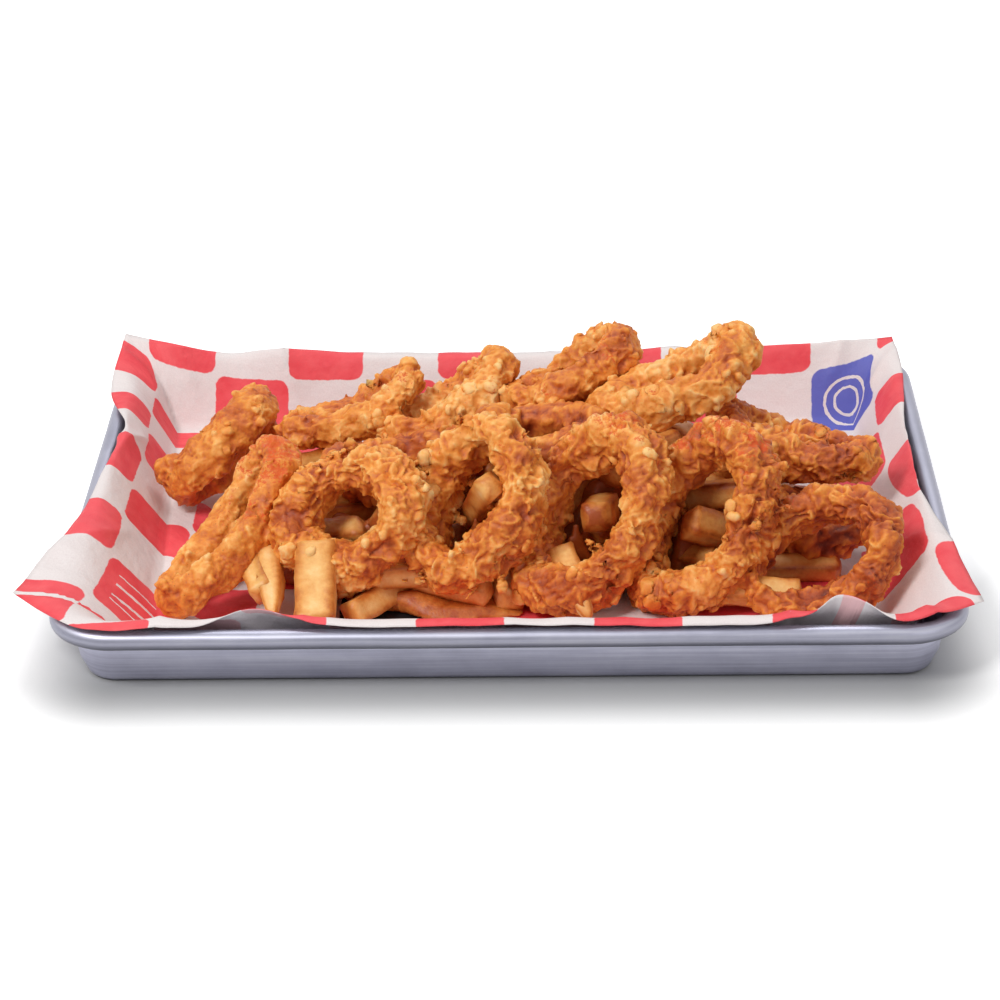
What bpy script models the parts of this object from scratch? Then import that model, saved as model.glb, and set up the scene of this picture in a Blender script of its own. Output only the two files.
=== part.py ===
"""Onion rings side: battered onion rings on a bed of thick fries, on a check-printed paper liner, in a rolled-rim
aluminium quarter sheet pan. Lengths are in millimetres and become metres as each mesh is made. +X runs along the
pan, +Y to its back and +Z up, from the middle of the pan's flat underside."""

import math

import bpy
import numpy as np
from mathutils import Euler, Vector, noise

MM = 0.001

# Pan: a quarter sheet, measured over its rolled rim
PAN_LENGTH = 330.0
PAN_WIDTH = 241.0
PAN_HEIGHT = 25.4
PAN_CORNER = 24.0
PAN_METAL = 1.3
BEAD_RADIUS = 3.6
WALL_INSET = 11.8
WALL_FOOT = 3.0
FOOT_BEND = 1.4
FOOT_LIFT = 0.7
WALL_HEAD = (0.6, 2.6)
LEAST_CORNER = 6.0
CORNER_STEPS = 5
BEAD_STEPS = 7
BEAD_START = -125.0
BEAD_TURN = 300.0

# Paper liner: a light sheet whose edges stand up the walls and lie over the rim
PAPER_THICKNESS = 0.5
PAPER_FLOOR = PAN_METAL + 0.9
PAPER_FOOT = (142.0, 97.0)
PAPER_SLANT = {"left": 12.0, "right": 6.0}
PAPER_FLOOR_SHARE = 0.7
PAPER_KNEE_INSET = 9.0
PAPER_KNEE_HEIGHT = 29.0
PAPER_KNEE_PULL = 3.0
PAPER_CELLS = (24, 18)

# The liner's edge on each side, from corner to corner, as (share of the side, x, y, z)
FRONT_EDGE = [
    (-1.0, -178, -96, 30),
    (-0.86, -150, -118, 27.5),
    (-0.7, -112, -118, 27.5),
    (-0.56, -90, -109, 30),
    (-0.4, -62, -118, 27.5),
    (0.0, 0, -118, 27.5),
    (0.55, 94, -118, 27.5),
    (0.72, 119, -110, 34),
    (0.84, 140, -118, 27.5),
    (1.0, 169, -106, 29),
]
RIGHT_EDGE = [
    (-1.0, 169, -106, 29),
    (-0.6, 164, -66, 28),
    (-0.1, 156.5, -10, 28),
    (0.4, 157.5, 44, 28),
    (0.8, 161, 92, 28.5),
    (1.0, 159, 117, 33),
]
BACK_EDGE = [
    (-1.0, -164, 117, 38),
    (-0.86, -138, 114, 33),
    (-0.76, -121, 115, 29),
    (-0.6, -97, 114, 31),
    (-0.3, -50, 117, 28),
    (0.2, 30, 117, 28),
    (0.65, 108, 114, 31),
    (0.85, 138, 115, 32),
    (1.0, 159, 117, 33),
]
LEFT_EDGE = [
    (-1.0, -178, -96, 30),
    (-0.5, -165, -42, 28),
    (0.0, -159.5, 5, 28),
    (0.4, -155, 44, 28),
    (0.7, -166, 80, 28.5),
    (1.0, -164, 117, 38),
]

# Onion rings: where the middle of the ring is, its turn, lean and roll in degrees, the long and short half-width of
# its centre line, and the width of the battered slice. A ring earlier in the table keeps its shape, and a later one
# gives way to it. Rings 13 to 15 lie under the others and bear them.
RINGS = {
    "onion_ring_09": ((-14, -50, 41), (-36, 55, 80), (27, 19), 18),
    "onion_ring_10": ((30, -50, 36), (-38, 55, 80), (32, 20), 18),
    "onion_ring_11": ((71, -48, 33), (-38, 55, 78), (32, 20), 18),
    "onion_ring_08": ((-59, -51, 37), (-28, 56, 40), (23, 18), 19),
    "onion_ring_12": ((114, -60, 23), (-28, 45, 35), (26, 20), 18),
    "onion_ring_02": ((-104, -44, 28), (-74, 38, 119), (35, 11), 17),
    "onion_ring_06": ((64, 12, 61), (-80, 21, 93), (29, 12), 16),
    "onion_ring_07": ((108, 4, 37), (126, 18, -141), (28, 11), 17),
    "onion_ring_01": ((-115, 30, 26), (-128, 58, 140), (23, 12), 20),
    "onion_ring_05": ((24, 30, 55), (-107, 31, 124), (24, 12), 19),
    "onion_ring_03": ((-64, 32, 41), (-99, 19, 109), (26, 10), 12),
    "onion_ring_04": ((-24, 30, 43), (-104, 30, 122), (25, 12), 18),
    "onion_ring_13": ((-42, -8, 37), (4, 12, 4), (25, 11), 15),
    "onion_ring_14": ((12, -6, 48), (-5, 10, 0), (20, 11), 15),
    "onion_ring_15": ((119, -22, 20), (-20, 18, 15), (18, 12), 14),
}
RING_WALL = 12.0
RING_STEPS = 28
SECTION_STEPS = 8
RING_SADDLE = 2.5
LUMP_SIZE = 14.0
LUMP_HEIGHT = 0.9
RING_GAP = 1.2
RING_FLOOR = PAPER_FLOOR + 1.8
CLEAR_ROUNDS = 4

# Bed of fries: one uneven heap that stops just under the rings
HEAP_MIDDLE = (6.0, -14.0)
HEAP_REACH = (115.0, 63.0)
HEAP_PEAK = 46.0
HEAP_EDGE = 6.0
HEAP_FLOOR = PAPER_FLOOR + 0.4
HEAP_LEAST = 0.5
HEAP_GAP = 1.4
HEAP_SEARCH = 10.0
HEAP_SPOKES = 40
HEAP_CIRCLES = 13
HEAP_FLATNESS = 2.6
HEAP_FULLNESS = 0.8
HEAP_LUMP = 3.0
HEAP_LUMP_SIZE = 10.0
HEAP_OUTLINE = 0.08


def clear_scene():
    for thing in list(bpy.data.objects):
        bpy.data.objects.remove(thing)


def material(name, colour, roughness, metallic=0.0):
    """A Principled material of one colour."""
    made = bpy.data.materials.new(name)
    made.use_nodes = True
    shader = made.node_tree.nodes["Principled BSDF"]
    shader.inputs["Base Color"].default_value = (*colour, 1.0)
    shader.inputs["Roughness"].default_value = roughness
    shader.inputs["Metallic"].default_value = metallic
    made.diffuse_color = (*colour, 1.0)
    return made


def add_object(name, points, faces, finish, sharp_angle=40.0):
    """Makes a mesh object from points in millimetres."""
    mesh = bpy.data.meshes.new(name)
    mesh.from_pydata([Vector(point) * MM for point in points], [], faces)
    mesh.materials.append(finish)
    mesh.shade_smooth()
    mesh.set_sharp_from_angle(angle=math.radians(sharp_angle))
    made = bpy.data.objects.new(name, mesh)
    bpy.context.scene.collection.objects.link(made)
    return made


def grid_faces(rows, columns, close_rows=False, close_columns=True):
    """Quads between neighbouring rows of points, closed round either way where asked."""
    faces = []
    for row in range(rows if close_rows else rows - 1):
        for column in range(columns if close_columns else columns - 1):
            next_row = (row + 1) % rows
            next_column = (column + 1) % columns
            faces.append(
                (
                    row * columns + column,
                    row * columns + next_column,
                    next_row * columns + next_column,
                    next_row * columns + column,
                )
            )
    return faces


def pan_outline(inset, height):
    """The pan's rounded outline, anticlockwise from the front right, drawn in by inset."""
    corner = max(PAN_CORNER - inset, LEAST_CORNER)
    half_length = PAN_LENGTH / 2 - inset - corner
    half_width = PAN_WIDTH / 2 - inset - corner
    centres = ((1, -1, -90), (1, 1, 0), (-1, 1, 90), (-1, -1, 180))
    outline = []
    for side_x, side_y, start in centres:
        for step in range(CORNER_STEPS + 1):
            angle = math.radians(start + 90 * step / CORNER_STEPS)
            x = side_x * half_length + corner * math.cos(angle)
            y = side_y * half_width + corner * math.sin(angle)
            outline.append((x, y, height))
    return outline


def pan_section():
    """The wall's section as (inset, height): up the outside, round the rolled bead and down the inside."""
    bead_height = PAN_HEIGHT - BEAD_RADIUS
    head_inset, head_drop = WALL_HEAD
    section = [
        (WALL_INSET + WALL_FOOT + FOOT_BEND, 0.0),
        (WALL_INSET, FOOT_LIFT),
        (WALL_INSET - FOOT_BEND, WALL_FOOT),
        (2 * BEAD_RADIUS + head_inset, bead_height - head_drop),
    ]
    for step in range(BEAD_STEPS + 1):
        angle = math.radians(BEAD_START + BEAD_TURN * step / BEAD_STEPS)
        inset = BEAD_RADIUS * (1 - math.cos(angle))
        section.append((inset, bead_height + BEAD_RADIUS * math.sin(angle)))
    section += [
        (2 * BEAD_RADIUS + head_inset + PAN_METAL, bead_height - head_drop),
        (WALL_INSET, WALL_FOOT + PAN_METAL),
        (WALL_INSET + FOOT_BEND, PAN_METAL + FOOT_LIFT),
        (WALL_INSET + WALL_FOOT + FOOT_BEND, PAN_METAL),
    ]
    return section


def build_pan(finish):
    section = pan_section()
    points = []
    for inset, height in section:
        points += pan_outline(inset, height)
    around = 4 * (CORNER_STEPS + 1)
    faces = grid_faces(len(section), around)
    faces.append(tuple(reversed(range(around))))
    faces.append(tuple(range(len(points) - around, len(points))))
    return add_object("sheet_pan", points, faces, finish)


def along(stations, share):
    """A smooth curve through an edge's stations, read at a share of its side."""
    shares = [station[0] for station in stations]
    places = [Vector(station[1:]) for station in stations]
    after = next((i for i in range(1, len(shares)) if share <= shares[i]), len(shares) - 1)
    before = after - 1
    step = (share - shares[before]) / (shares[after] - shares[before])
    first = places[max(before - 1, 0)]
    last = places[min(after + 1, len(places) - 1)]
    start, end = places[before], places[after]
    pull_start = (end - first) / 2
    pull_end = (last - start) / 2
    square, cube = step * step, step * step * step
    return (
        start * (2 * cube - 3 * square + 1)
        + pull_start * (cube - 2 * square + step)
        + end * (3 * square - 2 * cube)
        + pull_end * (cube - square)
    )


def inside_rim(place, inset):
    """The nearest place that lies within the pan's rounded outline drawn in by inset."""
    core_x, core_y = PAN_LENGTH / 2 - PAN_CORNER, PAN_WIDTH / 2 - PAN_CORNER
    corner = PAN_CORNER - inset
    out_x, out_y = max(abs(place.x) - core_x, 0.0), max(abs(place.y) - core_y, 0.0)
    draw = min(corner / max(math.hypot(out_x, out_y), corner), 1.0)
    x = min(abs(place.x), core_x) + out_x * draw
    y = min(abs(place.y), core_y) + out_y * draw
    return Vector((math.copysign(x, place.x), math.copysign(y, place.y), place.z))


def paper_point(across, deep):
    """A point of the liner: flat on the pan's floor, then up the wall to the knee and out to the edge."""
    reach = max(abs(across), abs(deep))
    span = max(reach, PAPER_FLOOR_SHARE)
    slant = PAPER_SLANT["left" if across < 0 else "right"]
    foot_x = PAPER_FOOT[0] - slant * (1 - deep / span) / 2
    foot = Vector((foot_x * across / span, PAPER_FOOT[1] * deep / span, PAPER_FLOOR))
    if reach <= PAPER_FLOOR_SHARE:
        return foot
    if abs(deep) >= abs(across):
        edge = along(FRONT_EDGE if deep < 0 else BACK_EDGE, across / reach)
    else:
        edge = along(LEFT_EDGE if across < 0 else RIGHT_EDGE, deep / reach)
    knee = inside_rim(edge, PAPER_KNEE_INSET)
    knee.z = PAPER_KNEE_HEIGHT
    step = (reach - PAPER_FLOOR_SHARE) / (1 - PAPER_FLOOR_SHARE)
    weights = ((1 - step) ** 2, 2 * PAPER_KNEE_PULL * step * (1 - step), step**2)
    return (foot * weights[0] + knee * weights[1] + edge * weights[2]) / sum(weights)


def build_paper(finish):
    columns, rows = PAPER_CELLS[0] + 1, PAPER_CELLS[1] + 1
    points = []
    for row in range(rows):
        for column in range(columns):
            points.append(paper_point(2 * column / PAPER_CELLS[0] - 1, 2 * row / PAPER_CELLS[1] - 1))
    faces = grid_faces(rows, columns, close_columns=False)
    paper = add_object("paper_liner", points, faces, finish)
    solidify = paper.modifiers.new("thickness", "SOLIDIFY")
    solidify.thickness = PAPER_THICKNESS * MM
    solidify.offset = -1.0
    return paper


class Ring:
    """One battered onion ring: its centre line and cross-section, and where they lie."""

    def __init__(self, name, place, angles, reach, band):
        self.name = name
        self.place = np.array(place, float)
        self.reach = reach
        self.band = band
        turn, lean, roll = (math.radians(angle) for angle in angles)
        self.spin = np.array(Euler((0.0, 0.0, roll)).to_matrix())
        self.euler = Euler((lean, 0.0, turn))
        self.turn = np.array(self.euler.to_matrix())
        self.seed = sum(ord(letter) for letter in name)

    def centre_line(self, steps):
        """Points of the oval centre line and the outward directions at them, in the ring's own axes."""
        angle = np.linspace(0, 2 * math.pi, steps, endpoint=False)
        x = self.reach[0] * np.cos(angle)
        y = self.reach[1] * np.sin(angle)
        line = np.stack([x, y, RING_SADDLE * np.cos(2 * angle)], 1)
        outward = np.stack([self.reach[1] * np.cos(angle), self.reach[0] * np.sin(angle), 0 * angle], 1)
        outward /= np.linalg.norm(outward, axis=1)[:, None]
        return line @ self.spin.T, outward @ self.spin.T

    def surface(self):
        """The ring's skin, row by row along its centre line, with the batter's lumps."""
        line, outward = self.centre_line(RING_STEPS)
        rows = []
        for middle, out in zip(line, outward):
            for step in range(SECTION_STEPS):
                angle = 2 * math.pi * (step + 0.5) / SECTION_STEPS
                offset = out * math.cos(angle) * RING_WALL / 2
                offset = offset + np.array([0, 0, math.sin(angle) * self.band / 2])
                point = middle + offset
                lump = noise.noise(Vector(point / LUMP_SIZE) + Vector((self.seed, 0, 0)))
                rows.append(point + offset / np.linalg.norm(offset) * lump * 2 * LUMP_HEIGHT)
        return np.array(rows)

    def to_world(self, points):
        return points @ self.turn.T + self.place

    def to_own(self, points):
        return (points - self.place) @ self.turn

    def push_out(self, points):
        """Moves the points that lie inside this ring, or too near it, out through its skin."""
        own = self.to_own(points)
        line, outward = self.centre_line(8 * RING_STEPS)
        nearest = ((own[:, None, :] - line[None]) ** 2).sum(2).argmin(1)
        middle, out = line[nearest], outward[nearest]
        away = own - middle
        across = (away * out).sum(1)
        up = away[:, 2]
        room = LUMP_HEIGHT + RING_GAP
        depth = np.hypot(across / (RING_WALL / 2 + room), up / (self.band / 2 + room))
        inside = depth < 1
        own[inside] = middle[inside] + away[inside] / np.maximum(depth[inside], 0.2)[:, None]
        return self.to_world(own)


def lay_rings():
    """The rings' skins in place. A ring gives way where an earlier one or the liner's floor presses on it."""
    laid = []
    for name, (place, angles, reach, band) in RINGS.items():
        ring = Ring(name, place, angles, reach, band)
        points = ring.to_world(ring.surface())
        for _ in range(CLEAR_ROUNDS):
            for other, _ in laid:
                points = other.push_out(points)
            points[:, 2] = np.maximum(points[:, 2], RING_FLOOR)
        laid.append((ring, points))
    return laid


def build_rings(laid, finish):
    faces = [face[::-1] for face in grid_faces(RING_STEPS, SECTION_STEPS, close_rows=True)]
    for ring, points in laid:
        made = add_object(ring.name, ring.to_own(points), faces, finish, sharp_angle=80.0)
        made.location = Vector(ring.place) * MM
        made.rotation_euler = ring.euler


def heap_height(x, y, skins):
    """The heap's top: a dome with lumps, held under whatever ring lies above."""
    across = (x - HEAP_MIDDLE[0]) / HEAP_REACH[0]
    deep = (y - HEAP_MIDDLE[1]) / HEAP_REACH[1]
    rise = max(1 - (abs(across) ** HEAP_FLATNESS + abs(deep) ** HEAP_FLATNESS), 0.0)
    height = HEAP_EDGE + (HEAP_PEAK - HEAP_EDGE) * rise**HEAP_FULLNESS
    height += HEAP_LUMP * noise.noise(Vector((x, y, 0)) / HEAP_LUMP_SIZE)
    near = ((skins[:, :2] - np.array([x, y])) ** 2).sum(1) < HEAP_SEARCH**2
    if near.any():
        height = min(height, skins[near, 2].min() - HEAP_GAP)
    return max(height, HEAP_FLOOR + HEAP_LEAST)


def build_heap(skins, finish):
    """Rings of points from the middle of the heap to its edge, and the same again on its flat underside."""
    tops = []
    for circle in range(1, HEAP_CIRCLES + 1):
        for spoke in range(HEAP_SPOKES):
            angle = 2 * math.pi * spoke / HEAP_SPOKES
            uneven = 1 + HEAP_OUTLINE * math.sin(5 * angle + 1) * math.sin(11 * angle)
            reach = uneven * circle / HEAP_CIRCLES
            x = HEAP_MIDDLE[0] + HEAP_REACH[0] * reach * math.cos(angle)
            y = HEAP_MIDDLE[1] + HEAP_REACH[1] * reach * math.sin(angle)
            tops.append((x, y, heap_height(x, y, skins)))
    bottoms = [(x, y, HEAP_FLOOR) for x, y, _ in tops[-HEAP_SPOKES:]]
    points = [(*HEAP_MIDDLE, heap_height(*HEAP_MIDDLE, skins))] + tops + bottoms
    faces = [(0, 1 + spoke, 1 + (spoke + 1) % HEAP_SPOKES) for spoke in range(HEAP_SPOKES)]
    for row in grid_faces(HEAP_CIRCLES + 1, HEAP_SPOKES):
        faces.append(tuple(reversed([1 + corner for corner in row])))
    faces.append(tuple(reversed(range(len(points) - HEAP_SPOKES, len(points)))))
    return add_object("fries_bed", points, faces, finish, sharp_angle=60.0)


def build():
    clear_scene()
    build_pan(material("brushed aluminium", (0.62, 0.63, 0.68), 0.38, 1.0))
    build_paper(material("greaseproof paper", (0.84, 0.76, 0.73), 0.7))
    laid = lay_rings()
    build_rings(laid, material("fried onion ring batter", (0.6, 0.25, 0.07), 0.55))
    skins = np.concatenate([points for _, points in laid])
    build_heap(skins, material("fried potato", (0.78, 0.5, 0.16), 0.5))


build()
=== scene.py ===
# Onion rings side: battered onion rings on thick fries, on a check-printed paper liner in an aluminium
# sheet pan.
# Objects are in metres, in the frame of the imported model. Sizes in the dictionaries are in millimetres.
import math
import random

import bmesh
import bpy
import numpy as np
from mathutils import Euler, Matrix, Vector, noise
from mathutils.bvhtree import BVHTree


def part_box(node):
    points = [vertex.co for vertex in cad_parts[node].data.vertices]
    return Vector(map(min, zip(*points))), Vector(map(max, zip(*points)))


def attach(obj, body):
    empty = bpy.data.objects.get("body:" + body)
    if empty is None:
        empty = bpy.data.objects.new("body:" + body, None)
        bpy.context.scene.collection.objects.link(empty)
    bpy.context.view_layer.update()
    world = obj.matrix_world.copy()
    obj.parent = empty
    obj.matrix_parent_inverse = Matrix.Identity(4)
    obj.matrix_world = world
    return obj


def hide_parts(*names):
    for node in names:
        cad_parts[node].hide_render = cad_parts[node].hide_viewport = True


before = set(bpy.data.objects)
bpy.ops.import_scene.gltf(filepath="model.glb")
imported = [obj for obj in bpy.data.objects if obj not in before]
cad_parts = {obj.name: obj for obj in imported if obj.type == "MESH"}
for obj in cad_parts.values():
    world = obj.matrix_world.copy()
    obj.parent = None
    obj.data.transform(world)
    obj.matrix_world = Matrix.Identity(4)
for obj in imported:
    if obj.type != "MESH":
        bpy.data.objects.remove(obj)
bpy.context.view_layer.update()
mm = 0.001
scene = bpy.context.scene
print("frame loaded:", len(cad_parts), "nodes")

# ---- camera: a long lens, a little above the pan
camera = {
    "target": (-4.4, 0.0, 17.0),
    "distance": 1153.5,
    "lens": 106.7,
    "pitch": 26.9,
    "turn": -1.4,
    "roll": -1.15,
}


def makeCamera():
    pitch, turn, roll = (math.radians(camera[key]) for key in ("pitch", "turn", "roll"))
    look = Vector((math.sin(turn) * math.cos(pitch), math.cos(turn) * math.cos(pitch), -math.sin(pitch)))
    right = Vector((math.cos(turn), -math.sin(turn), 0))
    up = right.cross(look)
    rolledRight = right * math.cos(roll) + up * math.sin(roll)
    rolledUp = up * math.cos(roll) - right * math.sin(roll)
    place = (Vector(camera["target"]) - look * camera["distance"]) * mm
    data = bpy.data.cameras.new("camera")
    data.lens = camera["lens"]
    data.sensor_width = 36
    data.clip_start = 0.05
    data.clip_end = 30
    holder = bpy.data.objects.new("camera", data)
    scene.collection.objects.link(holder)
    turned = Matrix((rolledRight, rolledUp, -look)).transposed().to_4x4()
    holder.matrix_world = Matrix.Translation(place) @ turned
    scene.camera = holder


makeCamera()


# ---- helpers
def hexColour(code):
    parts = [int(code[i : i + 2], 16) / 255 for i in (1, 3, 5)]
    linear = [c / 12.92 if c <= 0.04045 else ((c + 0.055) / 1.055) ** 2.4 for c in parts]
    return (*linear, 1.0)


def addNode(tree, kind, inputs=None, **settings):
    # a value can be a plain value, a socket, or a node, whose first live output is then used
    node = tree.nodes.new(kind)
    for key, value in settings.items():
        setattr(node, key, value)
    for key, value in (inputs or {}).items():
        if isinstance(value, bpy.types.Node):
            value = next(socket for socket in value.outputs if socket.enabled)
        if isinstance(value, bpy.types.NodeSocket):
            tree.links.new(value, node.inputs[key])
        elif isinstance(value, str) and value.startswith("#"):
            node.inputs[key].default_value = hexColour(value)
        else:
            node.inputs[key].default_value = value
    return node


def mathNode(tree, operation, *values, **settings):
    return addNode(tree, "ShaderNodeMath", dict(enumerate(values)), operation=operation, **settings)


def vectorNode(tree, operation, *values):
    return addNode(tree, "ShaderNodeVectorMath", dict(enumerate(values)), operation=operation)


def rangeNode(tree, *values, **settings):
    # the value, then where it runs from and to, then what it becomes
    return addNode(tree, "ShaderNodeMapRange", dict(enumerate(values)), **settings)


def noiseNode(tree, place, scale, detail, roughness=0.5):
    given = {"Vector": place, "Scale": scale, "Detail": detail, "Roughness": roughness}
    return addNode(tree, "ShaderNodeTexNoise", given)


def newMaterial(name):
    made = bpy.data.materials.new(name)
    made.use_nodes = True
    made.node_tree.nodes.clear()
    return made, made.node_tree


def paintStops(rampNode, stops):
    elements = rampNode.color_ramp.elements
    while len(elements) < len(stops):
        elements.new(0.5)
    for element, (place, colour) in zip(elements, stops):
        element.position = place
        element.color = hexColour(colour) if isinstance(colour, str) else (colour, colour, colour, 1)
    return rampNode


def newObject(name, mesh):
    made = bpy.data.objects.new(name, mesh)
    scene.collection.objects.link(made)
    return made


def newTree(name, sockets):
    tree = bpy.data.node_groups.new(name, "GeometryNodeTree")
    tree.interface.new_socket("Geometry", in_out="INPUT", socket_type="NodeSocketGeometry")
    for label, kind in sockets:
        tree.interface.new_socket(label, in_out="INPUT", socket_type=kind)
    tree.interface.new_socket("Geometry", in_out="OUTPUT", socket_type="NodeSocketGeometry")
    return tree, addNode(tree, "NodeGroupInput").outputs


def useTree(thing, tree, values):
    modifier = thing.modifiers.new(tree.name, "NODES")
    modifier.node_group = tree
    for item in tree.interface.items_tree:
        if item.in_out == "INPUT" and item.name in values:
            modifier[item.identifier] = values[item.name]


def bake(thing):
    # the mesh that the modifiers make becomes the object's own
    graph = bpy.context.evaluated_depsgraph_get()
    made = bpy.data.meshes.new_from_object(thing.evaluated_get(graph))
    thing.modifiers.clear()
    thing.data = made
    return thing


def mergedCopy(node, name):
    # a CAD node's mesh is loose triangles, so the copy's doubles are merged
    work = bmesh.new()
    work.from_mesh(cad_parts[node].data)
    bmesh.ops.remove_doubles(work, verts=work.verts, dist=0.01 * mm)
    mesh = bpy.data.meshes.new(name)
    work.to_mesh(mesh)
    work.free()
    mesh.materials.clear()
    return newObject(name, mesh)


def finish(piece, slotName, *nodes):
    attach(piece, "root")
    if nodes:
        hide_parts(*nodes)
    print("made", piece.name, len(piece.data.polygons), "faces")


def smoothStep(value, low, high):
    share = np.clip((value - low) / (high - low), 0, 1)
    return share * share * (3 - 2 * share)


# ---- sheet pan: rolled-rim quarter sheet
pan = {
    "length": 330.0,
    "width": 241.0,
    "height": 25.4,
    "corner": 24.0,
    "metal": 1.3,
    "bead": 3.6,
    "wallInset": 11.8,
    "footRadius": 3.0,
    "cornerSteps": 18,
    "sideCells": (44, 32),
    "beadSteps": 22,
    "dent": 0.22,
}


def panSection():
    beadHeight = pan["height"] - pan["bead"]
    inner = pan["wallInset"]
    radius = pan["footRadius"]
    section = [(inner + 26, 0.0), (inner + radius + 1.5, 0.0)]
    for step in range(1, 7):
        angle = math.radians(90 * step / 6)
        section.append((inner + radius * (1 - math.sin(angle)) * 0.9, radius * (1 - math.cos(angle)) * 0.75))
    section += [(inner - 2.1, 7.0), (inner - 3.0, 12.5), (2 * pan["bead"] + 0.6, beadHeight - 2.6)]
    for step in range(pan["beadSteps"] + 1):
        angle = math.radians(-128 + 303 * step / pan["beadSteps"])
        inset = pan["bead"] * (1 - math.cos(angle))
        section.append((inset, beadHeight + pan["bead"] * math.sin(angle)))
    section += [(2 * pan["bead"] + 1.9, beadHeight - 2.6), (inner - 1.7, 12.5), (inner - 0.8, 6.5)]
    for step in range(6):
        angle = math.radians(90 * step / 5)
        rise = radius * (1 - math.sin(angle)) * 0.75
        section.append((inner + 0.4 + radius * (1 - math.cos(angle)) * 0.9, pan["metal"] + rise))
    section.append((inner + 26, pan["metal"]))
    return section


def panOutline(inset, height):
    corner = max(pan["corner"] - inset, 5.0)
    halfLength = pan["length"] / 2 - inset - corner
    halfWidth = pan["width"] / 2 - inset - corner
    centres = [(1, -1, -90), (1, 1, 0), (-1, 1, 90), (-1, -1, 180)]
    outline = []
    for side, (sideX, sideY, start) in enumerate(centres):
        for step in range(pan["cornerSteps"] + 1):
            angle = math.radians(start + 90 * step / pan["cornerSteps"])
            x = sideX * halfLength + corner * math.cos(angle)
            y = sideY * halfWidth + corner * math.sin(angle)
            outline.append((x, y, height))
        cells = pan["sideCells"][(side + 1) % 2]
        following = centres[(side + 1) % 4]
        start2 = math.radians(following[2])
        nextX = following[0] * halfLength + corner * math.cos(start2)
        nextY = following[1] * halfWidth + corner * math.sin(start2)
        for step in range(1, cells):
            share = step / cells
            outline.append((x + (nextX - x) * share, y + (nextY - y) * share, height))
    return outline


def makeAluminium():
    # Pressed and brushed aluminium: fine streaks along the wall and faint scuffs
    made, tree = newMaterial("brushed aluminium")
    place = addNode(tree, "ShaderNodeTexCoord").outputs["Object"]
    # streaks some 1.1 mm apart
    long = addNode(tree, "ShaderNodeMapping", {"Vector": place, "Scale": (14, 14, 900)})
    streaks = noiseNode(tree, long, 1.0, 5.0, 0.6)
    scuffs = noiseNode(tree, place, 45.0, 6.0, 0.65)
    scuffShare = mathNode(tree, "MULTIPLY", scuffs, 0.35)
    half = mathNode(tree, "MULTIPLY_ADD", streaks, 0.65, scuffShare)
    tone = addNode(tree, "ShaderNodeValToRGB", {"Fac": half})
    paintStops(tone, [(0.36, "#C0C0D4"), (0.5, "#D0D0E4"), (0.64, "#E0E0F0")])
    # a ramp over height paints shade and light into the colour: darker at the foot, a dark line of painted
    # shade in the crease under the bead, and a darker bead that lightens towards its top as a painted
    # highlight
    height = addNode(tree, "ShaderNodeSeparateXYZ", {0: place}).outputs["Z"]
    upWall = rangeNode(tree, height, 0.0, pan["height"] * mm)
    shade = addNode(tree, "ShaderNodeValToRGB", {"Fac": upWall})
    paintStops(
        shade,
        [
            (0.0, 0.5),
            (0.1, 0.9),
            (0.62, 0.98),
            (0.72, 0.7),
            (0.745, 0.3),
            (0.79, 0.36),
            (0.9, 0.46),
            (1.0, 0.62),
        ],
    )
    tone = addNode(
        tree, "ShaderNodeMix", {0: 1.0, 6: tone, 7: shade}, data_type="RGBA", blend_type="MULTIPLY"
    )
    rough = rangeNode(tree, half, 0.35, 0.65, 0.30, 0.48)
    bump = addNode(tree, "ShaderNodeBump", {"Height": half, "Strength": 0.12, "Distance": 0.15 * mm})
    shader = addNode(
        tree,
        "ShaderNodeBsdfPrincipled",
        {"Base Color": tone, "Metallic": 0.8, "Roughness": rough, "Anisotropic": 0.4, "Normal": bump},
    )
    addNode(tree, "ShaderNodeOutputMaterial", {"Surface": shader})
    return made


def makePan():
    section = panSection()
    rings = [panOutline(inset, height) for inset, height in section]
    around = len(rings[0])
    points = []
    for ring in rings:
        for x, y, z in ring:
            dent = noise.noise(Vector((x, y, z)) / 34) + 0.5 * noise.noise(Vector((x, y, z * 2)) / 13)
            inward = Vector((-x / (pan["length"] / 2), -y / (pan["width"] / 2), 0)) * dent * pan["dent"]
            points.append(Vector((x, y, z)) + inward * (1 if z > 3 else 0))
    faces = []
    for row in range(len(rings) - 1):
        for step in range(around):
            after = (step + 1) % around
            first, second = row * around, (row + 1) * around
            faces.append((first + step, first + after, second + after, second + step))
    faces.append(tuple(reversed(range(around))))
    faces.append(tuple(range(len(points) - around, len(points))))
    mesh = bpy.data.meshes.new("pan_metal")
    mesh.from_pydata([point * mm for point in points], [], faces)
    mesh.shade_smooth()
    mesh.set_sharp_from_angle(angle=math.radians(50))
    mesh.materials.append(makeAluminium())
    finish(newObject("pan_metal", mesh), "pan_metal", "sheet_pan")


makePan()

# ---- paper liner
paper = {
    "cells": (220, 164),
    "thickness": 0.25,
    "floor": 2.2,
    "foot": (142.0, 97.0),
    "slant": (12.0, 6.0),
    "floorShare": 0.7,
    "kneeInset": 9.0,
    "kneeHeight": 29.0,
    "kneePull": 3.0,
    "flat": (380.0, 280.0),
    "wrinkle": 0.9,
}

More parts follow.
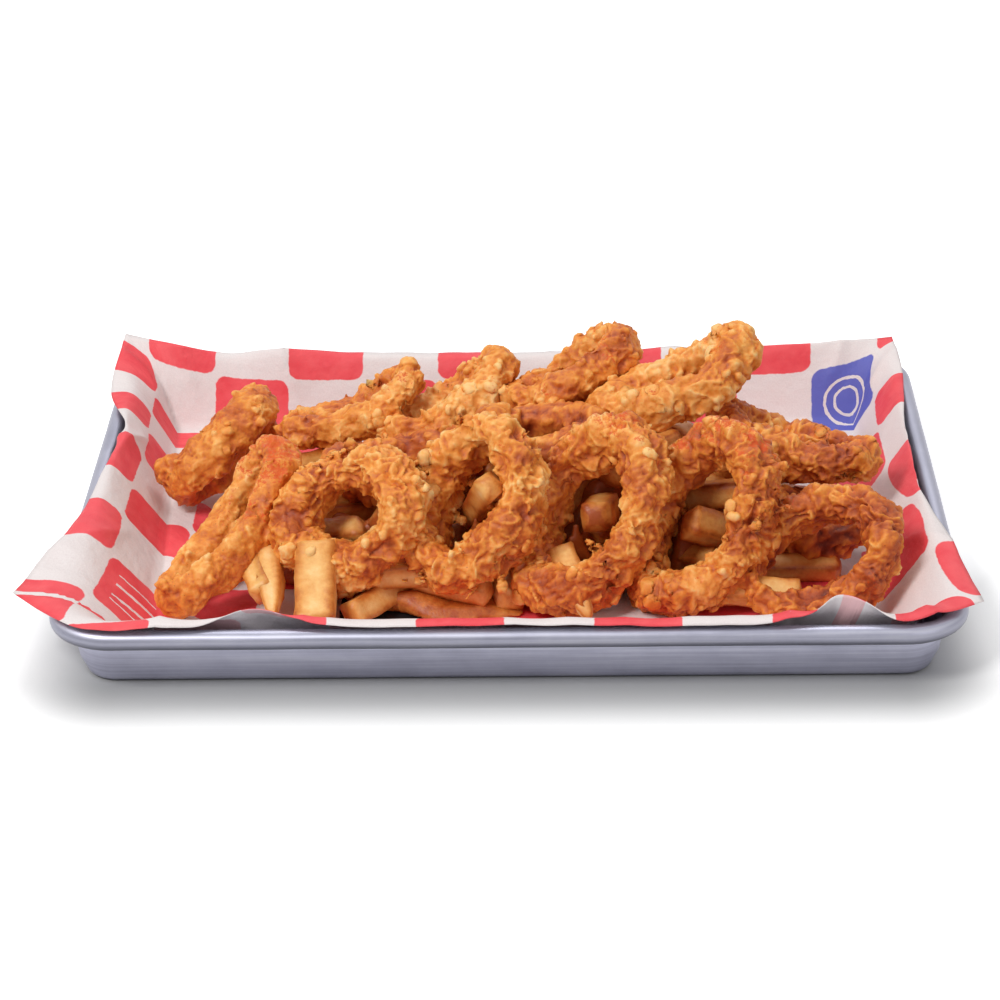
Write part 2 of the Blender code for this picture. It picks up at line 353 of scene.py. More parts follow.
# the liner's edge on each side, corner to corner, as (share of the side, x, y, z)
paperEdges = {
    "front": [
        (-1.0, -178, -96, 30),
        (-0.86, -150, -118, 27.5),
        (-0.7, -112, -118, 27.5),
        (-0.56, -90, -109, 30),
        (-0.4, -62, -118, 27.5),
        (0.0, 0, -118, 27.5),
        (0.55, 94, -118, 27.5),
        (0.72, 119, -110, 34),
        (0.84, 140, -118, 27.5),
        (1.0, 169, -106, 29),
    ],
    "right": [
        (-1.0, 169, -106, 29),
        (-0.6, 164, -66, 28),
        (-0.1, 156.5, -10, 28),
        (0.4, 157.5, 44, 28),
        (0.8, 161, 92, 28.5),
        (1.0, 159, 117, 33),
    ],
    "back": [
        (-1.0, -164, 117, 38),
        (-0.86, -138, 114, 33),
        (-0.76, -121, 115, 29),
        (-0.6, -97, 114, 31),
        (-0.3, -50, 117, 28),
        (0.2, 30, 117, 28),
        (0.65, 108, 114, 31),
        (0.85, 138, 115, 32),
        (1.0, 159, 117, 33),
    ],
    "left": [
        (-1.0, -178, -96, 30),
        (-0.5, -165, -42, 28),
        (0.0, -159.5, 5, 28),
        (0.4, -155, 44, 28),
        (0.7, -166, 80, 28.5),
        (1.0, -164, 117, 38),
    ],
}

# folds in the liner, as (start, end, height, width), start and end on the flat sheet; they stand in from
# the wall
paperFolds = [
    ((-152, 62), (-176, 24), 3.0, 5.0),
    ((-150, -20), (-178, -62), 2.2, 6.0),
    ((-118, -104), (-124, -128), 2.0, 6.0),
    ((-64, -100), (-72, -126), 1.6, 7.0),
    ((104, -100), (100, -126), 2.0, 6.0),
    ((140, -100), (152, -122), 2.6, 5.0),
    ((146, -30), (168, -52), 2.0, 7.0),
    ((148, 30), (170, 48), -1.6, 8.0),
    ((146, 92), (166, 106), 2.4, 5.0),
    ((128, 100), (138, 124), 2.2, 6.0),
    ((60, 100), (66, 124), 1.6, 8.0),
    ((-88, 100), (-96, 126), 2.2, 7.0),
    ((-132, 100), (-140, 124), 2.6, 6.0),
    ((-146, 94), (-168, 104), 2.4, 6.0),
]

# printed checks, and the cells that hold something else
checks = {
    "cell": (31.4, 26.9),
    "start": (-63.6, -71.0),
    "corner": 4.5,
    "black": (0, 0),
    "blue": (6, 6),
    "lined": (-3, -1),
}


def along(stations, share):
    shares = [station[0] for station in stations]
    places = [np.array(station[1:], float) for station in stations]
    after = next((i for i in range(1, len(shares)) if share <= shares[i]), len(shares) - 1)
    before = after - 1
    step = (share - shares[before]) / (shares[after] - shares[before])
    first, last = places[max(before - 1, 0)], places[min(after + 1, len(places) - 1)]
    start, end = places[before], places[after]
    square, cube = step * step, step**3
    pull = (end - first) / 2 * (cube - 2 * square + step) + (last - start) / 2 * (cube - square)
    return start * (2 * cube - 3 * square + 1) + pull + end * (3 * square - 2 * cube)


def paperKnee(edge):
    coreX, coreY = pan["length"] / 2 - pan["corner"], pan["width"] / 2 - pan["corner"]
    corner = pan["corner"] - paper["kneeInset"]
    outX = np.maximum(np.abs(edge[:, 0]) - coreX, 0)
    outY = np.maximum(np.abs(edge[:, 1]) - coreY, 0)
    draw = np.minimum(corner / np.maximum(np.hypot(outX, outY), corner), 1)
    x = np.sign(edge[:, 0]) * (np.minimum(np.abs(edge[:, 0]), coreX) + outX * draw)
    y = np.sign(edge[:, 1]) * (np.minimum(np.abs(edge[:, 1]), coreY) + outY * draw)
    return np.stack([x, y, np.full(len(x), paper["kneeHeight"])], 1)


def foldHeight(flat):
    lift = np.zeros(len(flat))
    for start, end, height, width in paperFolds:
        start, end = np.array(start, float), np.array(end, float)
        run = end - start
        share = ((flat - start) @ run) / (run @ run)
        middle = start + np.clip(share, 0, 1.4)[:, None] * run
        away = np.linalg.norm(flat - middle, axis=1)
        lift += height * np.exp(-away / width) * smoothStep(share, -0.3, 0.5)
    return lift


def paperGrid():
    columns, rows = paper["cells"][0] + 1, paper["cells"][1] + 1
    across, deep = np.meshgrid(np.linspace(-1, 1, columns), np.linspace(-1, 1, rows))
    across, deep = across.ravel(), deep.ravel()
    reach = np.maximum(np.abs(across), np.abs(deep))
    share = paper["floorShare"]
    # the foot of the two short walls stands further in at the front
    span = np.maximum(reach, share)
    slant = np.where(across < 0, paper["slant"][0], paper["slant"][1])
    footX = paper["foot"][0] - slant * (1 - deep / span) / 2
    foot = np.stack(
        [footX * across / span, paper["foot"][1] * deep / span, np.full(len(span), paper["floor"])], 1
    )
    edge = np.zeros((len(across), 3))
    for i in np.nonzero(reach > share)[0]:
        if abs(deep[i]) >= abs(across[i]):
            side, place = ("front" if deep[i] < 0 else "back"), across[i] / reach[i]
        else:
            side, place = ("left" if across[i] < 0 else "right"), deep[i] / reach[i]
        edge[i] = along(paperEdges[side], place)
    knee = paperKnee(edge)
    walled = reach > share
    step = np.where(walled, (reach - share) / (1 - share), 0)

    def wallAt(part):
        weights = np.stack([(1 - part) ** 2, 2 * paper["kneePull"] * part * (1 - part), part**2], 1)
        mixed = foot * weights[:, :1] + knee * weights[:, 1:2] + edge * weights[:, 2:]
        return mixed / weights.sum(1)[:, None]

    points = wallAt(step)
    # on the flat sheet, a wall's height adds to its run; the corner cells share it between both sides
    flat = foot[:, :2].copy()
    sideShare = np.abs(across) ** 8 / (np.abs(across) ** 8 + np.abs(deep) ** 8 + 1e-12)
    pieces = 16
    for i in range(pieces):
        leap = wallAt(step * (i + 1) / pieces) - wallAt(step * i / pieces)
        for axis, part in ((0, sideShare), (1, 1 - sideShare)):
            run = np.sign(leap[:, axis]) * np.hypot(leap[:, axis], leap[:, 2] * part)
            flat[:, axis] += np.where(walled, run, 0)
    cornered = np.minimum(np.abs(across), np.abs(deep)) / np.maximum(reach, 0.01)
    return points, flat, cornered, step, (rows, columns)


def warpPrint(flat):
    # the sheet lies a little skewed and stretched where it climbs the two short walls
    x, y = flat[:, 0], flat[:, 1]
    right, left = smoothStep(x, 105, 135), smoothStep(-x, 105, 135)
    moved = y + 0.4 * np.maximum(49 - y, 0) * right
    moved -= 0.34 * np.clip(y + 113, 0, 82) * left * (1 - smoothStep(y, 60, 105))
    return np.stack([x - 12 * right * smoothStep(20 - y, 0, 60), moved], 1)


def makePaperFinish(name, inkShare, base):
    # Bleached greaseproof paper: faint fibres, soft sheen, checks in flat ink with rounded corners
    made, tree = newMaterial(name)
    flat = addNode(tree, "ShaderNodeUVMap", uv_map="flatSheet").outputs["UV"]
    size = (*paper["flat"], 0)
    onSheet = vectorNode(tree, "MULTIPLY_ADD", flat, size, (-size[0] / 2, -size[1] / 2, 0))
    wobble = noiseNode(tree, onSheet, 0.35, 3.0)
    spread = vectorNode(tree, "SUBTRACT", wobble.outputs["Color"], (0.5, 0.5, 0.5))
    inked = vectorNode(tree, "MULTIPLY_ADD", spread, (1.1, 1.1, 0), onSheet)
    cell = (*checks["cell"], 1)
    fromStart = vectorNode(tree, "SUBTRACT", inked, (*checks["start"], 0))
    counted = vectorNode(tree, "DIVIDE", fromStart, cell)
    index = vectorNode(tree, "FLOOR", counted)
    inCell = vectorNode(tree, "SUBTRACT", counted, index)
    centred = vectorNode(tree, "SUBTRACT", inCell, (0.5, 0.5, 0.5))
    sized = vectorNode(tree, "MULTIPLY", centred, cell)
    folded = vectorNode(tree, "ABSOLUTE", sized)
    corner = checks["corner"]
    inside = (cell[0] / 2 - corner, cell[1] / 2 - corner, 0)
    past = vectorNode(tree, "SUBTRACT", folded, inside)
    kept = vectorNode(tree, "MAXIMUM", past, (0, 0, 0))
    flatKept = vectorNode(tree, "MULTIPLY", kept, (1, 1, 0))
    away = vectorNode(tree, "LENGTH", flatKept).outputs["Value"]
    rounded = rangeNode(tree, away, corner + 0.15, corner - 0.35, 0.0, 1.0)
    parts = addNode(tree, "ShaderNodeSeparateXYZ", {0: index})
    total = mathNode(tree, "ADD", parts.outputs[0], parts.outputs[1])
    odd = mathNode(tree, "FLOORED_MODULO", total, 2.0)
    even = mathNode(tree, "LESS_THAN", odd, 0.5)
    printed = mathNode(tree, "MULTIPLY", rounded, even)

    def inCellOf(which):
        onX = mathNode(tree, "COMPARE", parts.outputs[0], which[0], 0.1)
        onY = mathNode(tree, "COMPARE", parts.outputs[1], which[1], 0.1)
        return mathNode(tree, "MULTIPLY", onX, onY)

    blotch = noiseNode(tree, onSheet, 0.12, 5.0)
    red = paintStops(
        addNode(tree, "ShaderNodeValToRGB", {"Fac": blotch}), [(0.3, "#E8434E"), (0.7, "#F25A60")]
    )
    blue = addNode(
        tree, "ShaderNodeMix", {0: inCellOf(checks["blue"]), 6: red, 7: "#6167BE"}, data_type="RGBA"
    )
    ink = addNode(
        tree, "ShaderNodeMix", {0: inCellOf(checks["black"]), 6: blue, 7: "#1A1416"}, data_type="RGBA"
    )

    # the blue cell holds a plain ring motif, and one red cell three plain bars
    turned = vectorNode(tree, "MULTIPLY", sized, (1.0, 1.25, 0))
    radius = vectorNode(tree, "LENGTH", turned).outputs["Value"]
    ringOne = mathNode(tree, "COMPARE", radius, 10.0, 0.7)
    ringTwo = mathNode(tree, "COMPARE", radius, 5.6, 0.6)
    motif = mathNode(tree, "MAXIMUM", ringOne, ringTwo)
    motifHere = mathNode(tree, "MULTIPLY", motif, inCellOf(checks["blue"]))
    local = addNode(tree, "ShaderNodeSeparateXYZ", {0: sized})
    barPlace = mathNode(tree, "FLOORED_MODULO", local.outputs[1], 5.0)
    barLine = mathNode(tree, "COMPARE", barPlace, 2.5, 0.55)
    barTall = mathNode(tree, "COMPARE", local.outputs[1], 0.0, 7.5)
    barWide = mathNode(tree, "COMPARE", local.outputs[0], 0.0, 9.5)
    bars = mathNode(tree, "MULTIPLY", barLine, barTall)
    barsCut = mathNode(tree, "MULTIPLY", bars, barWide)
    barsHere = mathNode(tree, "MULTIPLY", barsCut, inCellOf(checks["lined"]))
    bare = mathNode(tree, "MAXIMUM", motifHere, barsHere)
    cover = mathNode(tree, "SUBTRACT", printed, bare, use_clamp=True)
    share = mathNode(tree, "MULTIPLY", cover, inkShare)

    fibres = noiseNode(tree, onSheet, 1.6, 6.0, 0.7)
    sheet = addNode(tree, "ShaderNodeValToRGB", {"Fac": fibres})
    paintStops(sheet, [(0.3, base[0]), (0.7, base[1])])
    colour = addNode(tree, "ShaderNodeMix", {0: share, 6: sheet, 7: ink}, data_type="RGBA")
    crinkle = noiseNode(tree, onSheet, 0.16, 5.0, 0.55)
    fine = mathNode(tree, "MULTIPLY_ADD", fibres, 0.12, crinkle)
    bump = addNode(tree, "ShaderNodeBump", {"Height": fine, "Strength": 0.5, "Distance": 1.2 * mm})
    shader = addNode(
        tree,
        "ShaderNodeBsdfPrincipled",
        {"Base Color": colour, "Roughness": 0.52, "Specular IOR Level": 0.35, "Normal": bump},
    )
    addNode(tree, "ShaderNodeOutputMaterial", {"Surface": shader})
    return made


def makePaper():
    points, flat, cornered, step, (rows, columns) = paperGrid()
    grid = points.reshape(rows, columns, 3)
    normal = np.cross(np.gradient(grid, axis=1), np.gradient(grid, axis=0)).reshape(-1, 3)
    normal /= np.maximum(np.linalg.norm(normal, axis=1), 1e-9)[:, None]
    lift = foldHeight(flat) * smoothStep(step, 0.0, 0.3)
    for i, (x, y) in enumerate(flat):
        here = Vector((x, y, 0))
        broad = noise.noise(here / 30) + 0.5 * noise.noise(here / 11)
        sharp = 1 - 2 * abs(noise.noise(here / 21 + Vector((7, 3, 1))))
        lift[i] += paper["wrinkle"] * (0.25 + 0.75 * step[i]) * (0.7 * broad + 0.5 * sharp - 0.3)
    lift = np.where(step < 0.05, np.clip(lift, -0.5, 0.3), np.clip(lift, -0.5 - 0.6 * step, 6))
    # the four tips stay smooth
    lift *= 1 - 0.8 * smoothStep(cornered, 0.86, 1.0) * smoothStep(step, 0.4, 0.9)
    points = points + normal * lift[:, None]
    faces = []
    for row in range(rows - 1):
        for column in range(columns - 1):
            first = row * columns + column
            faces.append((first, first + 1, first + columns + 1, first + columns))
    mesh = bpy.data.meshes.new("liner_paper")
    mesh.from_pydata([Vector(point) * mm for point in points], [], faces)
    mesh.shade_smooth()
    layer = mesh.uv_layers.new(name="flatSheet")
    onSheet = warpPrint(flat) / np.array(paper["flat"]) + 0.5
    loops = np.empty(len(mesh.loops), np.int32)
    mesh.loops.foreach_get("vertex_index", loops)
    layer.data.foreach_set("uv", onSheet[loops].astype(np.float32).ravel())
    mesh.materials.append(makePaperFinish("printed greaseproof paper", 1.0, ("#E2D7D6", "#EEE6E4")))
    mesh.materials.append(makePaperFinish("back of greaseproof paper", 0.35, ("#E0D6D8", "#EAE3E5")))
    made = newObject("liner_paper", mesh)
    thick = made.modifiers.new("thickness", "SOLIDIFY")
    thick.thickness = paper["thickness"] * mm
    thick.offset = -1
    thick.material_offset = 1
    bake(made)
    finish(made, "liner_paper", "paper_liner")
    return made


liner = makePaper()

# ---- battered rings: each follows its CAD ring, with flakes and knobs fused into the crust
batter = {
    "voxel": 0.62,
    "hiddenVoxel": 1.0,
    "quickVoxel": 1.2,
    "flakeThickness": 0.9,
    "leastIsland": 600.0,
    "hidden": ("13", "14", "15"),
}

# how each kind of ring is battered: flakes and knobs per square centimetre, their sizes, and the relief's
# heights
batterKinds = {
    "smooth": {
        "flakes": 0.12,
        "flakeSize": 0.8,
        "knobs": 0.6,
        "knobSize": 1.1,
        "swells": 1.4,
        "lumps": 1.5,
        "pebbles": 0.25,
        "ridges": 0.4,
    },
    "crumbly": {
        "flakes": 0.5,
        "flakeSize": 0.8,
        "knobs": 1.6,
        "knobSize": 1.05,
        "swells": 1.6,
        "lumps": 1.6,
        "pebbles": 0.35,
        "ridges": 0.7,
    },
    "ragged": {
        "flakes": 0.9,
        "flakeSize": 1.05,
        "knobs": 0.5,
        "knobSize": 1.15,
        "swells": 2.0,
        "lumps": 2.2,
        "pebbles": 0.25,
        "ridges": 1.05,
    },
    "folded": {
        "flakes": 0.45,
        "flakeSize": 0.95,
        "knobs": 0.4,
        "knobSize": 1.0,
        "swells": 2.0,
        "lumps": 2.0,
        "pebbles": 0.2,
        "ridges": 1.2,
    },
}

# kind, tone from brown 0 to yellow 1, how much paprika fell on it, and how far the batter swells the CAD ring
ringLooks = {
    "01": ("smooth", 0.55, 0.15, 0.7),
    "02": ("smooth", 0.66, 1.0, 0.7),
    "03": ("crumbly", 0.64, 0.45, 0.8),
    "04": ("crumbly", 0.76, 0.1, 0.9),
    "05": ("crumbly", 0.6, 0.35, 0.8),
    "06": ("crumbly", 0.7, 0.35, 0.8),
    "07": ("folded", 0.5, 0.1, 0.9),
    "08": ("ragged", 0.66, 0.0, 3.0),
    "09": ("ragged", 0.63, 0.05, 2.6),
    "10": ("ragged", 0.57, 0.45, 2.1),
    "11": ("ragged", 0.54, 0.9, 2.1),
    "12": ("folded", 0.44, 0.1, 1.3),
    "13": ("crumbly", 0.4, 0.0, 0.5),
    "14": ("crumbly", 0.4, 0.0, 0.5),
    "15": ("folded", 0.3, 0.0, 0.5),
}


def makeFlakes():
    # a few curled chips of batter, each rooted at its origin and standing along +Z
    holder = bpy.data.collections.new("flake shapes")
    dice = random.Random(11)
    for number in range(6):
        wide, tall = dice.uniform(5.5, 11.0), dice.uniform(4.0, 7.5)
        curl, twist = dice.uniform(0.35, 1.15), dice.uniform(-0.35, 0.35)
        shape = bmesh.new()
        across, up = 9, 7
        grid = []
        for row in range(up):
            rise = row / (up - 1)
            for column in range(across):
                side = column / (across - 1) * 2 - 1
                ragged = 1 + 0.35 * noise.noise(Vector((side * 2.2, number * 7.3, rise)))
                reachUp = tall * rise * ragged * (1 - 0.45 * abs(side) ** 2.5)
                half = wide / 2 * (0.75 + 0.35 * rise) * side
                wave = 0.9 * noise.noise(Vector((side * 1.6, number * 3.1, rise * 1.3)))
                lean = curl * rise * rise * tall * 0.6 + wave * rise + twist * side * wide * 0.3 * rise
                grid.append(shape.verts.new(Vector((half, lean, reachUp - 0.8)) * mm))
        for row in range(up - 1):
            for column in range(across - 1):
                first = row * across + column
                corners = (first, first + 1, first + across + 1, first + across)
                shape.faces.new([grid[i] for i in corners])
        bmesh.ops.solidify(shape, geom=shape.faces[:], thickness=batter["flakeThickness"] * mm)
        mesh = bpy.data.meshes.new(f"flake_{number}")
        shape.to_mesh(mesh)
        shape.free()
        holder.objects.link(bpy.data.objects.new(f"flake_{number}", mesh))
    return holder


def makeCrustTree():
    # strews flakes and knobs of batter over the smooth ring, all to be fused by the remesh that follows
    tree, given = newTree(
        "strewn batter",
        [
            ("Flakes", "NodeSocketCollection"),
            ("Flake density", "NodeSocketFloat"),
            ("Flake size", "NodeSocketFloat"),
            ("Knob density", "NodeSocketFloat"),
            ("Knob size", "NodeSocketFloat"),
            ("Swell", "NodeSocketFloat"),
            ("Seed", "NodeSocketInt"),
        ],
    )
    normal = addNode(tree, "GeometryNodeInputNormal")
    push = addNode(tree, "ShaderNodeVectorMath", {0: normal, "Scale": given["Swell"]}, operation="SCALE")
    swollen = addNode(tree, "GeometryNodeSetPosition", {"Geometry": given["Geometry"], "Offset": push})
    parts = [swollen]

    flakePoints = addNode(
        tree,
        "GeometryNodeDistributePointsOnFaces",
        {"Mesh": swollen, "Density": given["Flake density"], "Seed": given["Seed"]},
    )
    lean = addNode(
        tree, "FunctionNodeRandomValue", {
            0: (0.7, -0.3, 0.0), 1: (1.4, 0.3, 6.28), "Seed": 3
        }, data_type="FLOAT_VECTOR"
    )
    leanTurn = addNode(tree, "FunctionNodeEulerToRotation", {0: lean})
    flakeTurn = addNode(
        tree,
        "FunctionNodeRotateRotation",
        {0: flakePoints.outputs["Rotation"], 1: leanTurn},
        rotation_space="LOCAL",
    )
    flakeSpan = addNode(tree, "FunctionNodeRandomValue", {2: 0.5, 3: 1.35, "Seed": 5}, data_type="FLOAT")
    flakeScale = mathNode(tree, "MULTIPLY", flakeSpan, given["Flake size"])
    shapes = addNode(
        tree,
        "GeometryNodeCollectionInfo",
        {"Collection": given["Flakes"], "Separate Children": True, "Reset Children": True},
    )
    flakes = addNode(
        tree,
        "GeometryNodeInstanceOnPoints",
        {
            "Points": flakePoints.outputs["Points"],
            "Instance": shapes,
            "Pick Instance": True,
            "Rotation": flakeTurn,
            "Scale": flakeScale,
        },
    )
    parts.append(flakes)

    knobSeed = mathNode(tree, "ADD", given["Seed"], 40.0)
    knobPoints = addNode(
        tree,
        "GeometryNodeDistributePointsOnFaces",
        {"Mesh": swollen, "Density": given["Knob density"], "Seed": knobSeed},
    )
    knob = addNode(tree, "GeometryNodeMeshIcoSphere", {"Radius": 1.5 * mm, "Subdivisions": 2})
    knobSpan = addNode(
        tree, "FunctionNodeRandomValue", {
            0: (0.6, 0.6, 0.5), 1: (1.7, 1.5, 1.1), "Seed": 9
        }, data_type="FLOAT_VECTOR"
    )
    knobScale = addNode(
        tree, "ShaderNodeVectorMath", {0: knobSpan, "Scale": given["Knob size"]}, operation="SCALE"
    )
    spin = addNode(
        tree, "FunctionNodeRandomValue", {
            0: (-0.6, -0.6, 0), 1: (0.6, 0.6, 6.28), "Seed": 12
        }, data_type="FLOAT_VECTOR"
    )
    spinTurn = addNode(tree, "FunctionNodeEulerToRotation", {0: spin})
    knobTurn = addNode(
        tree, "FunctionNodeRotateRotation", {
            0: knobPoints.outputs["Rotation"], 1: spinTurn
        }, rotation_space="LOCAL"
    )
    knobs = addNode(
        tree,
        "GeometryNodeInstanceOnPoints",
        {"Points": knobPoints.outputs["Points"], "Instance": knob, "Rotation": knobTurn, "Scale": knobScale},
    )
    parts.append(knobs)
    joined = addNode(tree, "GeometryNodeJoinGeometry")
    for part in reversed(parts):
        tree.links.new(part.outputs[0], joined.inputs[0])
    whole = addNode(tree, "GeometryNodeRealizeInstances", {0: joined})
    addNode(tree, "NodeGroupOutput", {"Geometry": whole})
    return tree


def makeReliefTree():
    # roughens the fused crust along its normal, then measures how far each point stands proud of its
    # surroundings
    tree, given = newTree(
        "crust relief",
        [
            ("Least island", "NodeSocketFloat"),
            ("Swell height", "NodeSocketFloat"),
            ("Lump height", "NodeSocketFloat"),
            ("Pebble height", "NodeSocketFloat"),
            ("Ridge height", "NodeSocketFloat"),
            ("Grain height", "NodeSocketFloat"),
            ("Proud span", "NodeSocketFloat"),
            ("Material", "NodeSocketMaterial"),
        ],
    )
    # loose crumbs that the fuse left apart are dropped
    island = addNode(tree, "GeometryNodeInputMeshIsland").outputs["Island Index"]
    counted = addNode(
        tree, "GeometryNodeAccumulateField", {0: 1.0, "Group ID": island}, data_type="FLOAT", domain="POINT"
    )
    isLoose = addNode(
        tree,
        "FunctionNodeCompare",
        {0: counted.outputs["Total"], 1: given["Least island"]},
        data_type="FLOAT",
        operation="LESS_THAN",
    )
    fused = addNode(
        tree,
        "GeometryNodeDeleteGeometry",
        {"Geometry": given["Geometry"], "Selection": isLoose},
        domain="POINT",
    )
    place = addNode(tree, "GeometryNodeInputPosition")
    broad = noiseNode(tree, place, 42.0, 1.0)
    broadRise = rangeNode(tree, broad, 0.3, 0.7, -1.0, 1.0)
    bend = noiseNode(tree, place, 110.0, 2.0)
    centred = vectorNode(tree, "SUBTRACT", bend.outputs["Color"], (0.5, 0.5, 0.5))
    warped = vectorNode(tree, "MULTIPLY_ADD", centred, (7 * mm, 7 * mm, 7 * mm), place)
    lumps = noiseNode(tree, warped, 95.0, 3.0, 0.5)
    lumpRise = rangeNode(tree, lumps, 0.3, 0.7, -1.0, 1.0)
    pebbles = addNode(
        tree,
        "ShaderNodeTexVoronoi",
        {"Vector": warped, "Scale": 170.0, "Smoothness": 0.6, "Randomness": 1.0},
        feature="SMOOTH_F1",
    )
    pebbleRise = rangeNode(tree, pebbles.outputs["Distance"], 0.1, 0.75, 1.0, -0.8)
    folds = addNode(
        tree, "ShaderNodeTexNoise", {"Vector": warped, "Scale": 95.0, "Detail": 2.0, "Distortion": 0.7}
    )
    foldSide = mathNode(tree, "SUBTRACT", folds, 0.5)
    foldAway = mathNode(tree, "ABSOLUTE", foldSide)
    foldRise = rangeNode(tree, foldAway, 0.0, 0.11, 1.0, -0.35)
    grain = noiseNode(tree, place, 620.0, 3.0, 0.6)
    grainRise = rangeNode(tree, grain, 0.3, 0.7, -1.0, 1.0)
    total = None
    for rise, height in (
        (broadRise, "Swell height"),
        (lumpRise, "Lump height"),
        (pebbleRise, "Pebble height"),
        (foldRise, "Ridge height"),
        (grainRise, "Grain height"),
    ):
        part = mathNode(tree, "MULTIPLY", rise, given[height])
        total = part if total is None else mathNode(tree, "ADD", total, part)
    normal = addNode(tree, "GeometryNodeInputNormal")
    offset = addNode(tree, "ShaderNodeVectorMath", {0: normal, "Scale": total}, operation="SCALE")
    moved = addNode(tree, "GeometryNodeSetPosition", {"Geometry": fused, "Offset": offset})

    # proud: distance to the average of the surroundings, along the normal, as a share of the span; the batter
    # finish paints shade in the creases and highlight on the crests from it
    near = addNode(
        tree, "GeometryNodeBlurAttribute", {"Value": place, "Iterations": 9}, data_type="FLOAT_VECTOR"
    )
    away = vectorNode(tree, "SUBTRACT", place, near)
    smoothNormal = addNode(
        tree, "GeometryNodeBlurAttribute", {"Value": normal, "Iterations": 4}, data_type="FLOAT_VECTOR"
    )
    proud = vectorNode(tree, "DOT_PRODUCT", away, smoothNormal).outputs["Value"]
    share = mathNode(tree, "DIVIDE", proud, given["Proud span"])
    stored = addNode(
        tree,
        "GeometryNodeStoreNamedAttribute",
        {"Geometry": moved, "Name": "proud", "Value": share},
        data_type="FLOAT",
        domain="POINT",
    )
    smooth = addNode(tree, "GeometryNodeSetShadeSmooth", {"Geometry": stored})
    whole = addNode(tree, "GeometryNodeRealizeInstances", {0: smooth})
    coated = addNode(tree, "GeometryNodeSetMaterial", {"Geometry": whole, "Material": given["Material"]})
    addNode(tree, "NodeGroupOutput", {"Geometry": coated})
    return tree


def makeBatterFinish():
    # Deep-fried batter: matte crisp crust with an oily gleam; its creases are painted darker as painted shade
    # and its crests lighter as painted highlight
    made, tree = newMaterial("fried batter")
    place = addNode(tree, "ShaderNodeTexCoord").outputs["Object"]
    proud = addNode(tree, "ShaderNodeAttribute", attribute_name="proud").outputs["Fac"]
    tone = addNode(tree, "ShaderNodeAttribute", attribute_name="tone").outputs["Fac"]
    dust = addNode(tree, "ShaderNodeAttribute", attribute_name="dust").outputs["Fac"]
    patches = noiseNode(tree, place, 62.0, 4.0, 0.6)
    mottle = noiseNode(tree, place, 330.0, 4.0, 0.6)
    # how well done: ring tone, then patches some 16 mm across, then mottling of 3 mm, then painted shade in
    # the creases and painted highlight on the crests
    level = mathNode(tree, "MULTIPLY_ADD", patches, 1.5, -0.75)
    level = mathNode(tree, "ADD", level, tone)
    fine = mathNode(tree, "MULTIPLY_ADD", mottle, 0.5, -0.25)
    level = mathNode(tree, "ADD", level, fine)
    # painted shade in the creases and painted highlight on the crests
    paintedCreaseShade = rangeNode(tree, proud, -1.0, 1.0, -0.38, 0.3)
    level = mathNode(tree, "ADD", level, paintedCreaseShade)
    cooked = addNode(tree, "ShaderNodeValToRGB", {"Fac": level})
    paintStops(
        cooked,
        [
            (0.0, "#74260C"),
            (0.22, "#A5471A"),
            (0.45, "#CC6C2C"),
            (0.65, "#E68E36"),
            (0.84, "#F5AF5C"),
            (1.0, "#FBCA84"),
        ],
    )
    # fine ground pepper
    pepper = addNode(tree, "ShaderNodeTexVoronoi", {"Vector": place, "Scale": 520.0})
    isPepper = rangeNode(tree, pepper.outputs["Distance"], 0.17, 0.1, 0.0, 1.0)
    few = mathNode(tree, "GREATER_THAN", pepper.outputs["Color"], 0.72)
    specks = mathNode(tree, "MULTIPLY", isPepper, few)
    speckShare = mathNode(tree, "MULTIPLY", specks, 0.45)
    peppered = addNode(tree, "ShaderNodeMix", {0: speckShare, 6: cooked, 7: "#7A3A1A"}, data_type="RGBA")
    # paprika lies as red-orange grains where it fell
    grains = noiseNode(tree, place, 900.0, 3.0, 0.7)
    drifts = noiseNode(tree, place, 120.0, 3.0)
    both = mathNode(tree, "ADD", grains, drifts)
    fallen = mathNode(tree, "MULTIPLY_ADD", dust, 0.34, both)
    powder = rangeNode(tree, fallen, 1.25, 1.36, 0.0, 0.8)
    powdered = addNode(tree, "ShaderNodeMix", {0: powder, 6: peppered, 7: "#D64E08"}, data_type="RGBA")
    gleam = rangeNode(tree, mottle, 0.35, 0.65, 0.42, 0.68)
    pores = noiseNode(tree, place, 1500.0, 3.0, 0.6)
    height = mathNode(tree, "MULTIPLY_ADD", mottle, 2.0, pores)
    bump = addNode(tree, "ShaderNodeBump", {"Height": height, "Strength": 0.55, "Distance": 0.35 * mm})
    shader = addNode(
        tree,
        "ShaderNodeBsdfPrincipled",
        {
            "Base Color": powdered,
            "Roughness": gleam,
            "Specular IOR Level": 0.4,
            "Subsurface Weight": 0.18,
            "Subsurface Radius": (1.0, 0.45, 0.2),
            "Subsurface Scale": 2.2 * mm,
            "Normal": bump,
        },
    )
    addNode(tree, "ShaderNodeOutputMaterial", {"Surface": shader})
    return made


def storeFloats(mesh, name, values):
    layer = mesh.attributes.new(name, "FLOAT", "POINT")
    layer.data.foreach_set("value", np.asarray(values, np.float32))


def meshPoints(mesh):
    points = np.empty(len(mesh.vertices) * 3, np.float32)
    mesh.vertices.foreach_get("co", points)
    return points.reshape(-1, 3)


def meshNormals(mesh):
    normals = np.empty(len(mesh.vertices) * 3, np.float32)
    mesh.vertex_normals.foreach_get("vector", normals)
    return normals.reshape(-1, 3)


